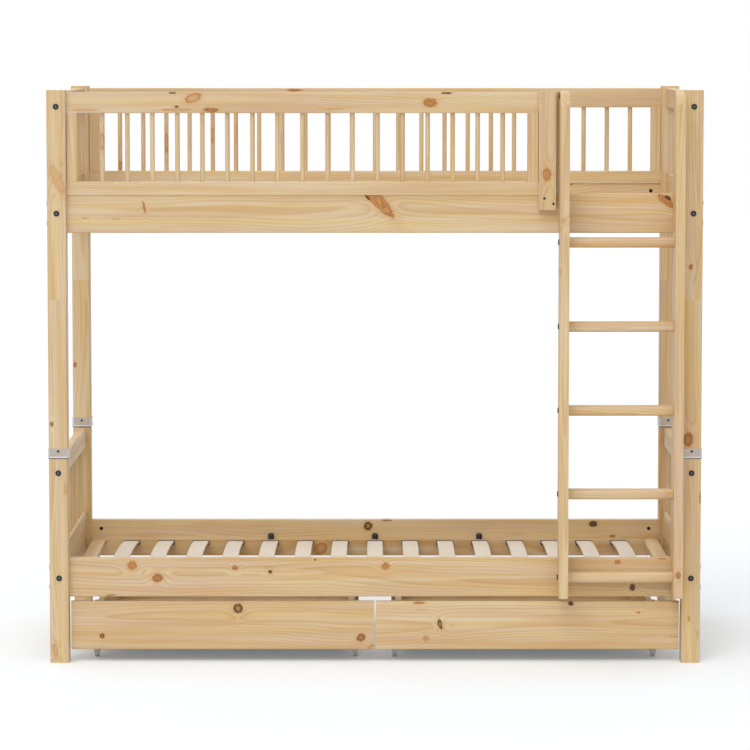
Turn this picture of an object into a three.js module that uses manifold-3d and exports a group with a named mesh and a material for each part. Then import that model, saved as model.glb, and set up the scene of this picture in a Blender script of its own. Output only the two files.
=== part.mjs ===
// Bunk bed in solid pine: two identical bed modules, one above the other on extension legs,
// a ladder at the right of the front, guards round the upper bed and two roll-out drawers.
// Millimetres. X runs along the bed, the front faces -Y, and Z = 0 is the floor.
import * as THREE from 'three';
import { mergeVertices } from 'three/addons/utils/BufferGeometryUtils.js';
import Module from 'manifold-3d';

const wasm = await Module();
wasm.setup();

// Frame
const BED_LENGTH = 2085;          // over the posts
const RAIL_GAP = 912;             // clear width between the side rails
const POST = 61;                  // square post
const POST_EDGE = 5;              // rounding of the posts' edges
const POST_LENGTH = 665;          // one bed module
const EXTENSION_LENGTH = 504;     // leg between the two modules
const BOARD_EDGE = 3;             // eased edges of the boards

// Side rails and end panels, heights above the foot of their own module
const RAIL_THICKNESS = 28;
const RAIL_HEIGHT = 126;
const RAIL_BOTTOM = 211;
const RAIL_SETBACK = 25;          // behind the front face of the posts
const END_THICKNESS = 28;
const END_BOARD_HEIGHT = 158;
const TOP_RAIL_HEIGHT = 66;
const TOP_RAIL_DROP = 7;          // below the top of the post
const SPINDLE_DIAMETER = 16;
const SPINDLE_PITCH = 79.6;
const SPINDLE_TENON = 8;

// Guards of the upper bed
const GUARD_THICKNESS = 35;
const GUARD_BASE_HEIGHT = 42;
const GUARD_LAP = 5;              // how far the base reaches down over the side rail
const GUARD_STILE = 35;
const NEWEL_GAP = 9.8;            // between the ladder and the board beside the entrance
const NEWEL_WIDTH = 55;
const NEWEL_REBATE = 12;          // its rear part reaches this far past it, behind the ladder
const NEWEL_FOOT = 22;            // thickness of the part in front of the side rail
const NEWEL_OVERLAP = 52;         // how far it hangs down over the side rail
const NEWEL_DROP = 4;             // below the top of the post
const NEWEL_SCREWS = [[0.27, 37], [0.7, 20]];   // share of its width, and height above its foot

// Ladder
const LADDER_CLEAR = 335;         // between the stiles
const LADDER_STILE = 29;
const LADDER_DEPTH = 120;
const LADDER_DROP = 2;            // below the top of the post
const LADDER_LIFT = 11;           // above the underside of the side rail
const LADDER_GAP = 1.7;           // beside the sleeve on the post
const LADDER_CORNER = 55;         // rounding of the top front corner
const RUNG_COUNT = 5;
const RUNG_HEIGHT = 32;
const RUNG_DEPTH = 45;
const RUNG_EDGE = 9;
const FIRST_RUNG = 280;
const RUNG_PITCH = 268;
const RUNG_INSET = 60;            // rung behind the front edge of the stile

// Slatted bases
const BEAM_THICKNESS = 25;
const BEAM_LIFT = 5;              // above the underside of the side rail
const BEAM_HEIGHT = 55;
const SLAT_COUNT = 15;
const SLAT_WIDTH = 53;
const SLAT_THICKNESS = 8;
const SLAT_RISE = 20;             // bow of a slat
const SLAT_STEPS = 4;
const CAP_WIDTH = 57;
const CAP_DEPTH = 30;
const CAP_HEIGHT = 14;
const CAP_DROP = 2;               // below the top of the beam
const CAP_WALL = 1.7;
const SLAT_SOCKET = 24;           // how deep a slat sits in its cap
const END_SLAT_WIDTH = 49;
const END_SLAT_THICKNESS = 20;
const END_SLAT_INSET = 3;         // from the post
const END_SLAT_GAP = 61;          // from the outermost cap
const PEG_DIAMETER = 21;
const PEG_HEIGHT = 21;
const PEG_DOME = [[1, 0.6], [0.72, 0.9]];   // shares of its radius and of its height
const PEGGED_SLATS = [-3, 0, 3];  // counted from the middle slat

// Drawers
const DRAWER_GAP = 5;             // between the two fronts
const DRAWER_END_GAP = 5.5;       // between a front and the post
const FRONT_BOTTOM = 40;
const FRONT_HEIGHT = 156;
const FRONT_THICKNESS = 20;
const BOX_OVERHANG_OUTER = 80;    // the front reaches past the box
const BOX_OVERHANG_INNER = 65.5;
const BOX_DEPTH = 860;
const BOX_WALL = 18;
const BOX_BOTTOM = 56;
const BOX_HEIGHT = 130;
const FLOOR_THICKNESS = 6;
const FLOOR_LIFT = 12;            // above the lower edge of the box
const FLOOR_GROOVE = 8;
const CASTOR_PLATE = 12;          // thickness of the castor's plate on the side of the box
const CASTOR_FORK = 19;           // width round the wheel, below the box
const CASTOR_LENGTH = 44;
const CASTOR_TOP = 182;
const CASTOR_FOOT = 8;            // fork below the axle
const CASTOR_INSET = 86;          // wheel axle from the box's front and back ends
const WHEEL_DIAMETER = 50;
const WHEEL_WIDTH = 14;
const WHEEL_OFFSET = 4.4;         // from the side of the box to the middle of the wheel
const WHEEL_GAP = 0.6;            // beside the wheel
const WHEEL_CROWN = 4;            // above the wheel
const AXLE_DIAMETER = 6;
const AXLE_PLAY = 0.08;           // round the axle, on the radius

// Fittings
const FIT = 0.3;                  // clearance round cut and turned pieces
const BOLT_DIAMETER = 6;
const BOLT_HEAD = 17.5;
const BOLT_HEAD_HEIGHT = 3;
const NUT_DIAMETER = 11.5;
const NUT_FROM_END = 34;
const NUT_RECESS = 1.5;
const RAIL_BOLT_SPREAD = 32;      // above and below the middle of the side rail
const TOP_BOLT_RISE = 21;         // above the underside of an end top rail
const DOWEL_DIAMETER = 12;
const DOWEL_DEPTH = 38;
const COUPLING_WALL = 2;
const COUPLING_BELOW = 6;         // below the joint it covers
const COUPLING_ABOVE = 27;
const SCREW_DIAMETER = 3.5;
const SCREW_HEAD = 7;
const SCREW_SINK = 2;
const SCREW_PROUD = 0.4;
const COUPLING_SCREW_RISE = 18;   // above the joint
const COUPLING_SCREW = 22;
const NEWEL_SCREW = 42;
const LADDER_FIXING_RISE = 75;    // above the underside of the side rail
const LADDER_FIXING_GRIP = 30;    // length in the stile
const TOP_BOLT_DROP = 15;         // below the top of the ladder
const GRID = 0.001;               // corners are rounded to this
const FACETS = 8;                 // round rods
const SHANK_FACETS = 5;           // bolts, dowels and their bores
const SMALL_FACETS = 6;           // pegs and the mouths of nuts
const WHEEL_FACETS = 12;
const POST_STEPS = 2;             // rounding of the posts' edges
const RUNG_STEPS = 3;
const ARC_STEPS = 4;              // half the steps of the ladder's top corner

// Derived places
const BED_WIDTH = RAIL_GAP + 2 * (RAIL_THICKNESS + RAIL_SETBACK);
const UPPER = POST_LENGTH + EXTENSION_LENGTH;
const BED_HEIGHT = UPPER + POST_LENGTH;
const HALF_LENGTH = BED_LENGTH / 2;
const POST_INNER = HALF_LENGTH - POST;
const RAIL_MID_Z = RAIL_BOTTOM + RAIL_HEIGHT / 2;
const RAIL_TOP = RAIL_BOTTOM + RAIL_HEIGHT;
const RAIL_MID_Y = RAIL_SETBACK + RAIL_THICKNESS / 2;
const RAIL_INNER = RAIL_SETBACK + RAIL_THICKNESS;
const END_MID_X = HALF_LENGTH - POST / 2;
const END_BOARD_TOP = RAIL_BOTTOM + END_BOARD_HEIGHT;
const TOP_RAIL_TOP = POST_LENGTH - TOP_RAIL_DROP;
const TOP_RAIL_BOTTOM = TOP_RAIL_TOP - TOP_RAIL_HEIGHT;
const GUARD_FRONT = RAIL_MID_Y - GUARD_THICKNESS / 2;
const GUARD_BACK = RAIL_MID_Y + GUARD_THICKNESS / 2;
const GUARD_BOTTOM = UPPER + RAIL_TOP - GUARD_LAP;
const GUARD_BASE_TOP = GUARD_BOTTOM + GUARD_BASE_HEIGHT;
const LADDER_FRONT = RAIL_SETBACK - LADDER_DEPTH;
const LADDER_RIGHT = POST_INNER - COUPLING_WALL - LADDER_GAP;
const BEAM_BOTTOM = RAIL_BOTTOM + BEAM_LIFT;
const BEAM_TOP = BEAM_BOTTOM + BEAM_HEIGHT;
const CAP_TOP = BEAM_TOP - CAP_DROP;
const END_SLAT = POST_INNER - END_SLAT_INSET - END_SLAT_WIDTH;
const SLAT_PITCH = 2 * (END_SLAT - END_SLAT_GAP - CAP_WIDTH / 2) / (SLAT_COUNT - 1);
const AXLE_Z = WHEEL_DIAMETER / 2;
const FIXING_LENGTH = RAIL_THICKNESS + LADDER_FIXING_GRIP;
const LADDER_TOP = BED_HEIGHT - LADDER_DROP;
const LADDER_BOTTOM = RAIL_BOTTOM + LADDER_LIFT;
const RUNG_MID_Y = LADDER_FRONT + RUNG_INSET + RUNG_DEPTH / 2;
const RUNG_HEIGHTS = Array.from({ length: RUNG_COUNT }, (_, i) => FIRST_RUNG + i * RUNG_PITCH);
const LADDER_STILES = [
  { name: 'ladder_stile_left', left: LADDER_RIGHT - 2 * LADDER_STILE - LADDER_CLEAR, outer: -1 },
  { name: 'ladder_stile_right', left: LADDER_RIGHT - LADDER_STILE, outer: 1 },
];
const NEWEL_LEFT = LADDER_STILES[0].left - NEWEL_GAP - NEWEL_WIDTH;

// Finishes
const finish = (color, roughness, metalness = 0) =>
  new THREE.MeshStandardMaterial({ color, roughness, metalness });
const PINE = finish(0xd8ba8c, 0.55);
const PINE_INSIDE = finish(0xcfae7d, 0.6);
const BIRCH = finish(0xe3d3bd, 0.55);
const ZINC = finish(0xb4aea6, 0.4, 0.7);
const WHEEL_PLASTIC = finish(0xb9bcc0, 0.4);
const PLYWOOD = finish(0xd9c8aa, 0.6);

// Directions and lists that repeat
const AXIS = {
  x: new THREE.Vector3(1, 0, 0),
  y: new THREE.Vector3(0, 1, 0),
  z: new THREE.Vector3(0, 0, 1),
};
const SIDES = [-1, 1];            // left and right, or front and rear
const MODULES = [0, UPPER];       // foot of the lower and of the upper bed
const fromFront = (y, side) => (side < 0 ? y : BED_WIDTH - y);

// A closed geometry becomes a solid. Only positions are kept, so that shared corners merge, and
// they are rounded, so that faces meant to touch lie in one plane.
function solidOf(geometry) {
  const bare = geometry.clone();
  bare.deleteAttribute('normal');
  bare.deleteAttribute('uv');
  const merged = mergeVertices(bare, GRID);
  return new wasm.Manifold(new wasm.Mesh({
    numProp: 3,
    vertProperties: Float32Array.from(merged.attributes.position.array, (v) => Math.round(v / GRID) * GRID),
    triVerts: Uint32Array.from(merged.index.array),
  }));
}

function geometryOf(solid) {
  const mesh = solid.getMesh();
  const geometry = new THREE.BufferGeometry();
  geometry.setAttribute('position', new THREE.BufferAttribute(mesh.vertProperties, 3));
  geometry.setIndex(new THREE.BufferAttribute(mesh.triVerts, 1));
  geometry.computeVertexNormals();
  return geometry;
}

// Turns a geometry built along +Z so that it points along a direction, from a point.
function aim(geometry, origin, direction) {
  const turn = new THREE.Quaternion().setFromUnitVectors(AXIS.z, direction);
  return geometry.applyQuaternion(turn).translate(origin[0], origin[1], origin[2]);
}

function vector(axis, sign = 1) {
  return AXIS[axis].clone().multiplyScalar(sign);
}

// A round rod from a point along a direction.
function rod(origin, direction, length, radius, facets = FACETS) {
  const geometry = new THREE.CylinderGeometry(radius, radius, length, facets);
  geometry.rotateY(Math.PI / facets).rotateX(Math.PI / 2).translate(0, 0, length / 2);
  return solidOf(aim(geometry, origin, direction));
}

// A turned piece: profile points are [radius, distance along the direction], in rising order.
function turned(profile, origin, direction, facets = FACETS) {
  const points = profile.map(([radius, along]) => new THREE.Vector2(radius, along));
  const geometry = new THREE.LatheGeometry(points, facets);
  geometry.rotateY(Math.PI / facets).rotateX(Math.PI / 2);
  return solidOf(aim(geometry, origin, direction));
}

// A centred rectangle whose corners are rounded in so many steps.
function roundedOutline(width, height, radius, steps, Kind = THREE.Shape) {
  const points = [];
  [[1, 1], [-1, 1], [-1, -1], [1, -1]].forEach(([right, up], quarter) => {
    for (let step = 0; step <= steps; step += 1) {
      const angle = (quarter + step / steps) * Math.PI / 2;
      const x = right * (width / 2 - radius) + radius * Math.cos(angle);
      const y = up * (height / 2 - radius) + radius * Math.sin(angle);
      points.push(new THREE.Vector2(x, y));
    }
  });
  return new Kind(points);
}

// The outline's own x and y lie along these axes when it is drawn out along the third.
const DRAWN_ALONG = {
  x: new THREE.Matrix4().makeBasis(AXIS.y, AXIS.z, AXIS.x),
  y: new THREE.Matrix4().makeBasis(AXIS.z, AXIS.x, AXIS.y),
  z: new THREE.Matrix4(),
};

function drawnOut(outline, axis, start, length) {
  const geometry = new THREE.ExtrudeGeometry(outline, {
    depth: length, bevelEnabled: false, curveSegments: ARC_STEPS,
  });
  geometry.translate(0, 0, start).applyMatrix4(DRAWN_ALONG[axis]);
  return geometry;
}

// A board or post with eased long edges, between low and high corners.
function board(axis, low, high, edge = BOARD_EDGE, steps = 1) {
  const size = high.map((value, i) => value - low[i]);
  const middle = high.map((value, i) => (value + low[i]) / 2);
  const [x, y, z] = { x: [1, 2, 0], y: [2, 0, 1], z: [0, 1, 2] }[axis];
  const outline = roundedOutline(size[x], size[y], edge, steps);
  const geometry = drawnOut(outline, axis, -size[z] / 2, size[z]);
  return solidOf(geometry.translate(...middle));
}

// A plain square-edged block.
function block(low, high) {
  const size = high.map((value, i) => value - low[i]);
  const middle = high.map((value, i) => (value + low[i]) / 2);
  return solidOf(new THREE.BoxGeometry(...size).translate(...middle));
}

// Low and high corners from spans that may run either way.
function corners(xs, ys, zs) {
  const spans = [xs, ys, zs];
  return [spans.map((span) => Math.min(...span)), spans.map((span) => Math.max(...span))];
}

function together(solids) {
  return solids.reduce((whole, solid) => whole.add(solid));
}

function cutBy(solid, cutters) {
  return cutters.reduce((rest, cutter) => rest.subtract(cutter), solid);
}

const bed = new THREE.Group();

function addPiece(name, solids, material) {
  const mesh = new THREE.Mesh(geometryOf(together(solids)), material);
  mesh.name = name;
  bed.add(mesh);
}

// Fittings. A bolt or screw is one body with the piece that it is screwed into, and it passes
// through a bore in the piece that it holds.
function furnitureBolt(seat, direction, length) {
  const radius = BOLT_HEAD / 2;
  const head = [[0, -BOLT_HEAD_HEIGHT], [radius - 1, -BOLT_HEAD_HEIGHT], [radius, 0], [0, 0]];
  return turned(head, seat, direction)
    .add(rod(seat, direction, length, BOLT_DIAMETER / 2, SHANK_FACETS));
}

function boltBore(seat, direction, length) {
  return rod(seat, direction, length, BOLT_DIAMETER / 2 + FIT, SHANK_FACETS);
}

// The mouth of a barrel nut: a shallow round recess in the face of the board.
function nutMouth(centre, direction) {
  const start = new THREE.Vector3(...centre).addScaledVector(direction, -1).toArray();
  return rod(start, direction, NUT_RECESS + 1, NUT_DIAMETER / 2, SMALL_FACETS);
}

function woodScrew(seat, direction, length) {
  const head = SCREW_HEAD / 2;
  const shank = SCREW_DIAMETER / 2;
  return turned([[0, -SCREW_PROUD], [head, -SCREW_PROUD], [head, 0], [shank, SCREW_SINK], [shank, length],
    [0, length]], seat, direction, SHANK_FACETS);
}

function screwBore(seat, direction, length) {
  return rod(seat, direction, length + 1, SCREW_DIAMETER / 2 + FIT, SHANK_FACETS);
}

// Bolted joints of the frame. A rail bolt enters at the end face of a post, an end bolt at its
// front or rear face. The nut's mouth lies in the face of the board that the bolt holds.
function frameJoints() {
  const joints = [];
  for (const foot of MODULES) {
    for (const end of SIDES) {
      for (const side of SIDES) {
        for (const step of SIDES) {
          const z = foot + RAIL_MID_Z + step * RAIL_BOLT_SPREAD;
          joints.push({
            board: 'rail', foot, end, side,
            seat: [end * HALF_LENGTH, fromFront(RAIL_MID_Y, side), z],
            direction: vector('x', -end),
            nut: [end * (POST_INNER - NUT_FROM_END), fromFront(RAIL_INNER, side), z],
            nutDirection: vector('y', side),
          });
        }
        const y = fromFront(POST + NUT_FROM_END, side);
        joints.push({
          board: 'end', foot, end, side,
          seat: [end * END_MID_X, fromFront(0, side), foot + RAIL_MID_Z],
          direction: vector('y', -side),
          nut: [end * (END_MID_X - END_THICKNESS / 2), y, foot + RAIL_MID_Z],
          nutDirection: vector('x', end),
        });
        joints.push({
          board: 'end', foot, end, side,
          seat: [end * END_MID_X, fromFront(0, side), foot + TOP_RAIL_BOTTOM + TOP_BOLT_RISE],
          direction: vector('y', -side),
          nut: [end * END_MID_X, y, foot + TOP_RAIL_BOTTOM],
          nutDirection: vector('z'),
        });
      }
    }
  }
  return joints;
}

const JOINTS = frameJoints();
const BOLT_LENGTH = POST + NUT_FROM_END;
const jointsWhere = (wanted) =>
  JOINTS.filter((joint) => Object.entries(wanted).every(([key, value]) => joint[key] === value));

// Adds the bolts of these joints to a board and cuts the mouths of their nuts.
function withBolts(solid, joints) {
  const mouths = joints.map((joint) => nutMouth(joint.nut, joint.nutDirection));
  const bolts = joints.map((joint) => furnitureBolt(joint.seat, joint.direction, BOLT_LENGTH));
  return together([cutBy(solid, mouths), ...bolts]);
}

// Posts, extension legs and the steel sleeves over the lower joints
const levelName = (foot) => (foot === 0 ? 'lower' : 'upper');
const sideName = (side) => (side < 0 ? 'front' : 'rear');
const endName = (end) => (end < 0 ? 'left' : 'right');
const CORNERS = SIDES.flatMap((side) => SIDES.map((end) => ({
  side, end, name: `${sideName(side)}_${endName(end)}`,
  x: end * END_MID_X, y: fromFront(POST / 2, side),
})));

function postBar({ end, side }, foot, length) {
  const xs = [end * POST_INNER, end * HALF_LENGTH];
  const ys = [fromFront(0, side), fromFront(POST, side)];
  return board('z', ...corners(xs, ys, [foot, foot + length]), POST_EDGE, POST_STEPS);
}

function dowel({ x, y }, joint, radius, reach) {
  return rod([x, y, joint - reach], AXIS.z, 2 * reach, radius, SHANK_FACETS);
}

function posts() {
  for (const foot of MODULES) {
    const joint = foot === 0 ? POST_LENGTH : UPPER;
    for (const corner of CORNERS) {
      const { end, side } = corner;
      const bores = jointsWhere({ foot, end, side })
        .map(({ seat, direction }) => boltBore(seat, direction, BOLT_LENGTH));
      bores.push(dowel(corner, joint, DOWEL_DIAMETER / 2 + FIT, DOWEL_DEPTH + FIT));
      const bar = postBar(corner, foot, POST_LENGTH);
      addPiece(`post_${levelName(foot)}_${corner.name}`, [cutBy(bar, bores)], PINE);
    }
  }
}

// Every sleeve has its screw in the face that looks to the front
const couplingScrew = ({ x, y }) => ({
  seat: [x, y - POST / 2 - FIT - COUPLING_WALL, POST_LENGTH + COUPLING_SCREW_RISE],
  direction: vector('y'),
});

function extensions() {
  for (const corner of CORNERS) {
    const { seat, direction } = couplingScrew(corner);
    const bore = screwBore(seat, direction, COUPLING_SCREW);
    const bar = postBar(corner, POST_LENGTH, EXTENSION_LENGTH).subtract(bore);
    const dowels = [POST_LENGTH, UPPER].map((joint) => dowel(corner, joint, DOWEL_DIAMETER / 2, DOWEL_DEPTH));
    addPiece(`leg_extension_${corner.name}`, [bar, ...dowels], PINE);
  }
}

function couplings() {
  const inner = POST + 2 * FIT;
  const outer = inner + 2 * COUPLING_WALL;
  for (const corner of CORNERS) {
    const outline = roundedOutline(outer, outer, POST_EDGE + COUPLING_WALL, POST_STEPS);
    outline.holes.push(roundedOutline(inner, inner, POST_EDGE, POST_STEPS, THREE.Path));
    const sleeve = drawnOut(outline, 'z', POST_LENGTH - COUPLING_BELOW, COUPLING_BELOW + COUPLING_ABOVE);
    const { seat, direction } = couplingScrew(corner);
    addPiece(`post_coupling_${corner.name}`, [
      solidOf(sleeve.translate(corner.x, corner.y, 0)),
      woodScrew(seat, direction, COUPLING_SCREW),
    ], ZINC);
  }
}

// Side rails
const ladderFixings = (foot) => LADDER_STILES.map(({ left }) => ({
  seat: [left + LADDER_STILE / 2, RAIL_INNER, foot + RAIL_BOTTOM + LADDER_FIXING_RISE],
  direction: vector('y', -1),
}));

const newelScrews = NEWEL_SCREWS.map(([across, rise]) => ({
  seat: [
    NEWEL_LEFT + across * NEWEL_WIDTH,
    RAIL_SETBACK - NEWEL_FOOT,
    UPPER + RAIL_TOP - NEWEL_OVERLAP + rise,
  ],
  direction: vector('y'),
}));

function sideRails() {
  for (const foot of MODULES) {
    for (const side of SIDES) {
      const ys = [fromFront(RAIL_SETBACK, side), fromFront(RAIL_INNER, side)];
      const zs = [foot + RAIL_BOTTOM, foot + RAIL_TOP];
      const bar = board('x', ...corners([-POST_INNER, POST_INNER], ys, zs));
      const bores = [];
      if (side < 0) {
        const fixings = ladderFixings(foot);
        bores.push(...fixings.map(({ seat, direction }) => boltBore(seat, direction, FIXING_LENGTH)));
      }
      if (side < 0 && foot === UPPER) {
        bores.push(...newelScrews.map(({ seat, direction }) => screwBore(seat, direction, NEWEL_SCREW)));
      }
      addPiece(`side_rail_${levelName(foot)}_${sideName(side)}`,
        [withBolts(cutBy(bar, bores), jointsWhere({ board: 'rail', foot, side }))], PINE);
    }
  }
}

// Evenly pitched spindles between two stiles or posts, tenoned into the rails below and above
function spindlePlaces(low, high) {
  const count = Math.floor((high - low) / SPINDLE_PITCH);
  const first = (low + high - (count - 1) * SPINDLE_PITCH) / 2;
  return Array.from({ length: count }, (_, i) => first + i * SPINDLE_PITCH);
}

function spindle(x, y, low, high) {
  return rod([x, y, low - SPINDLE_TENON], AXIS.z, high - low + 2 * SPINDLE_TENON, SPINDLE_DIAMETER / 2);
}

// End panels: glued frames of a wide board below, a rail above and spindles between them
function endPanels() {
  const half = END_THICKNESS / 2;
  const ys = [POST, BED_WIDTH - POST];
  for (const foot of MODULES) {
    for (const end of SIDES) {
      const xs = [end * (END_MID_X - half), end * (END_MID_X + half)];
      const frame = together([
        board('y', ...corners(xs, ys, [foot + RAIL_BOTTOM, foot + END_BOARD_TOP])),
        board('y', ...corners(xs, ys, [foot + TOP_RAIL_BOTTOM, foot + TOP_RAIL_TOP])),
        ...spindlePlaces(...ys).map((y) =>
          spindle(end * END_MID_X, y, foot + END_BOARD_TOP, foot + TOP_RAIL_BOTTOM)),
      ]);
      addPiece(`end_panel_${levelName(foot)}_${endName(end)}`,
        [withBolts(frame, jointsWhere({ board: 'end', foot, end }))], PINE);
    }
  }
}

// Guards: glued frames whose base is grooved over the side rail
function guardBase(side, left, right) {
  const half = GUARD_THICKNESS / 2;
  const cheek = RAIL_THICKNESS / 2 + FIT;
  const middle = fromFront(RAIL_MID_Y, side);
  const top = GUARD_BASE_TOP;
  const groove = GUARD_BOTTOM + GUARD_LAP;
  const ease = BOARD_EDGE;
  const points = [[-half, GUARD_BOTTOM], [-cheek, GUARD_BOTTOM], [-cheek, groove], [cheek, groove],
    [cheek, GUARD_BOTTOM], [half, GUARD_BOTTOM], [half, top - ease], [half - ease, top], [ease - half, top],
    [-half, top - ease]];
  const outline = new THREE.Shape(points.map(([y, z]) => new THREE.Vector2(middle + y, z)));
  return solidOf(drawnOut(outline, 'x', left, right - left));
}

function guard(side, left, right) {
  const ys = [fromFront(GUARD_FRONT, side), fromFront(GUARD_BACK, side)];
  const railBottom = UPPER + TOP_RAIL_BOTTOM;
  const stile = (from) => board('z', ...corners([from, from + GUARD_STILE], ys,
    [GUARD_BASE_TOP - SPINDLE_TENON, railBottom + SPINDLE_TENON]));
  addPiece(`${sideName(side)}_guard`, [
    guardBase(side, left, right),
    board('x', ...corners([left, right], ys, [railBottom, UPPER + TOP_RAIL_TOP])),
    stile(left),
    stile(right - GUARD_STILE),
    ...spindlePlaces(left + GUARD_STILE, right - GUARD_STILE)
      .map((x) => spindle(x, fromFront(RAIL_MID_Y, side), GUARD_BASE_TOP, railBottom)),
  ], PINE);
}

// The board beside the entrance stands on the side rail and hangs down over its front
function newel() {
  const front = RAIL_SETBACK - NEWEL_FOOT;
  const seat = UPPER + RAIL_TOP;
  const top = BED_HEIGHT - NEWEL_DROP;
  const points = [[front, seat - NEWEL_OVERLAP], [RAIL_SETBACK, seat - NEWEL_OVERLAP], [RAIL_SETBACK, seat],
    [GUARD_BACK, seat], [GUARD_BACK, top], [front, top]];
  const outline = new THREE.Shape(points.map(([y, z]) => new THREE.Vector2(y, z)));
  const xs = [NEWEL_LEFT + NEWEL_WIDTH / 2, NEWEL_LEFT + NEWEL_WIDTH + NEWEL_REBATE];
  addPiece('entrance_newel', [
    solidOf(drawnOut(outline, 'x', NEWEL_LEFT, NEWEL_WIDTH)),
    block(...corners(xs, [RAIL_SETBACK + FIT, GUARD_BACK], [seat, top])),
    ...newelScrews.map(({ seat: place, direction }) => woodScrew(place, direction, NEWEL_SCREW)),
  ], PINE);
}

// Ladder: the rungs carry the bolts that pass through the stiles, and each stile carries the two
// bolts that hold it to the side rails
function ladderStile({ name, left, outer }) {
  const bend = [LADDER_FRONT + LADDER_CORNER, LADDER_TOP - LADDER_CORNER];
  const outline = new THREE.Shape();
  outline.moveTo(LADDER_FRONT, LADDER_BOTTOM);
  outline.lineTo(RAIL_SETBACK, LADDER_BOTTOM);
  outline.lineTo(RAIL_SETBACK, LADDER_TOP);
  outline.lineTo(bend[0], LADDER_TOP);
  outline.absarc(...bend, LADDER_CORNER, Math.PI / 2, Math.PI);
  const bar = solidOf(drawnOut(outline, 'x', left, LADDER_STILE));
  const bores = RUNG_HEIGHTS.map((z) => boltBore([left - 1, RUNG_MID_Y, z], AXIS.x, LADDER_STILE + 2));
  const bolts = MODULES.flatMap(ladderFixings)
    .filter(({ seat }) => seat[0] > left && seat[0] < left + LADDER_STILE)
    .map(({ seat, direction }) => furnitureBolt(seat, direction, FIXING_LENGTH));
  if (outer < 0) {
    bolts.push(furnitureBolt([left, RUNG_MID_Y, LADDER_TOP - TOP_BOLT_DROP], AXIS.x, LADDER_STILE / 2));
  }
  addPiece(name, [cutBy(bar, bores), ...bolts], PINE);
}

function ladder() {
  LADDER_STILES.forEach(ladderStile);
  const [low, high] = [LADDER_STILES[0].left + LADDER_STILE, LADDER_STILES[1].left];
  const ys = [RUNG_MID_Y - RUNG_DEPTH / 2, RUNG_MID_Y + RUNG_DEPTH / 2];
  RUNG_HEIGHTS.forEach((z, i) => {
    const zs = [z - RUNG_HEIGHT / 2, z + RUNG_HEIGHT / 2];
    addPiece(`ladder_rung_${i + 1}`, [
      board('x', ...corners([low, high], ys, zs), RUNG_EDGE, RUNG_STEPS),
      furnitureBolt([low - LADDER_STILE, RUNG_MID_Y, z], AXIS.x, LADDER_STILE + 1),
      furnitureBolt([high + LADDER_STILE, RUNG_MID_Y, z], vector('x', -1), LADDER_STILE + 1),
    ], PINE);
  });
}

// Slatted bases: beams with plastic caps on the side rails, bowed slats sprung into the caps
function bowedSlat(x, foot) {
  const front = RAIL_INNER + BEAM_THICKNESS + CAP_DEPTH - SLAT_SOCKET;
  const back = BED_WIDTH - front;
  const middle = BED_WIDTH / 2;
  const base = foot + CAP_TOP - CAP_WALL - SLAT_THICKNESS;
  const rise = (y) => SLAT_RISE * (1 - ((y - middle) / (middle - front)) ** 2);
  const line = Array.from({ length: SLAT_STEPS + 1 }, (_, i) => front + (i * (back - front)) / SLAT_STEPS);
  const lower = line.map((y) => new THREE.Vector2(y, base + rise(y)));
  const upper = [...line].reverse().map((y) => new THREE.Vector2(y, base + SLAT_THICKNESS + rise(y)));
  return solidOf(drawnOut(new THREE.Shape([...lower, ...upper]), 'x', x - SLAT_WIDTH / 2, SLAT_WIDTH));
}

function slatCap(x, foot, side) {
  const near = RAIL_INNER + BEAM_THICKNESS;
  const xs = [x - CAP_WIDTH / 2, x + CAP_WIDTH / 2];
  const ys = [fromFront(near - 1, side), fromFront(near + CAP_DEPTH, side)];
  return block(...corners(xs, ys, [foot + CAP_TOP - CAP_HEIGHT, foot + CAP_TOP]));
}

function mattressPeg(x, y, seat) {
  const radius = PEG_DIAMETER / 2;
  const dome = PEG_DOME.map(([across, up]) => [across * radius, up * PEG_HEIGHT]);
  const profile = [[0, -1], [radius, -1], ...dome, [0, PEG_HEIGHT]];
  return turned(profile, [x, y, seat], AXIS.z, SMALL_FACETS);
}

function slattedBase(foot) {
  const top = foot + BEAM_TOP;
  const bottom = foot + BEAM_BOTTOM;
  const shelf = top - END_SLAT_THICKNESS;
  const pieces = [];
  for (const side of SIDES) {
    const ys = [fromFront(RAIL_INNER, side), fromFront(RAIL_INNER + BEAM_THICKNESS, side)];
    pieces.push(block(...corners([-END_SLAT, END_SLAT], ys, [bottom, top])));
    pieces.push(block(...corners([-POST_INNER, POST_INNER], ys, [bottom, shelf])));
    const pegY = fromFront(RAIL_INNER + BEAM_THICKNESS / 2, side);
    pieces.push(...PEGGED_SLATS.map((n) => mattressPeg(n * SLAT_PITCH, pegY, top)));
  }
  for (let i = 0; i < SLAT_COUNT; i += 1) {
    const x = (i - (SLAT_COUNT - 1) / 2) * SLAT_PITCH;
    pieces.push(bowedSlat(x, foot), ...SIDES.map((side) => slatCap(x, foot, side)));
  }
  addPiece(`slatted_base_${levelName(foot)}`, pieces, BIRCH);
  for (const end of SIDES) {
    const xs = [end * END_SLAT, end * (END_SLAT + END_SLAT_WIDTH)];
    const slat = board('y', ...corners(xs, [RAIL_INNER, BED_WIDTH - RAIL_INNER], [shelf, top]));
    addPiece(`end_slat_${levelName(foot)}_${endName(end)}`, [slat], PINE_INSIDE);
  }
}

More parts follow.
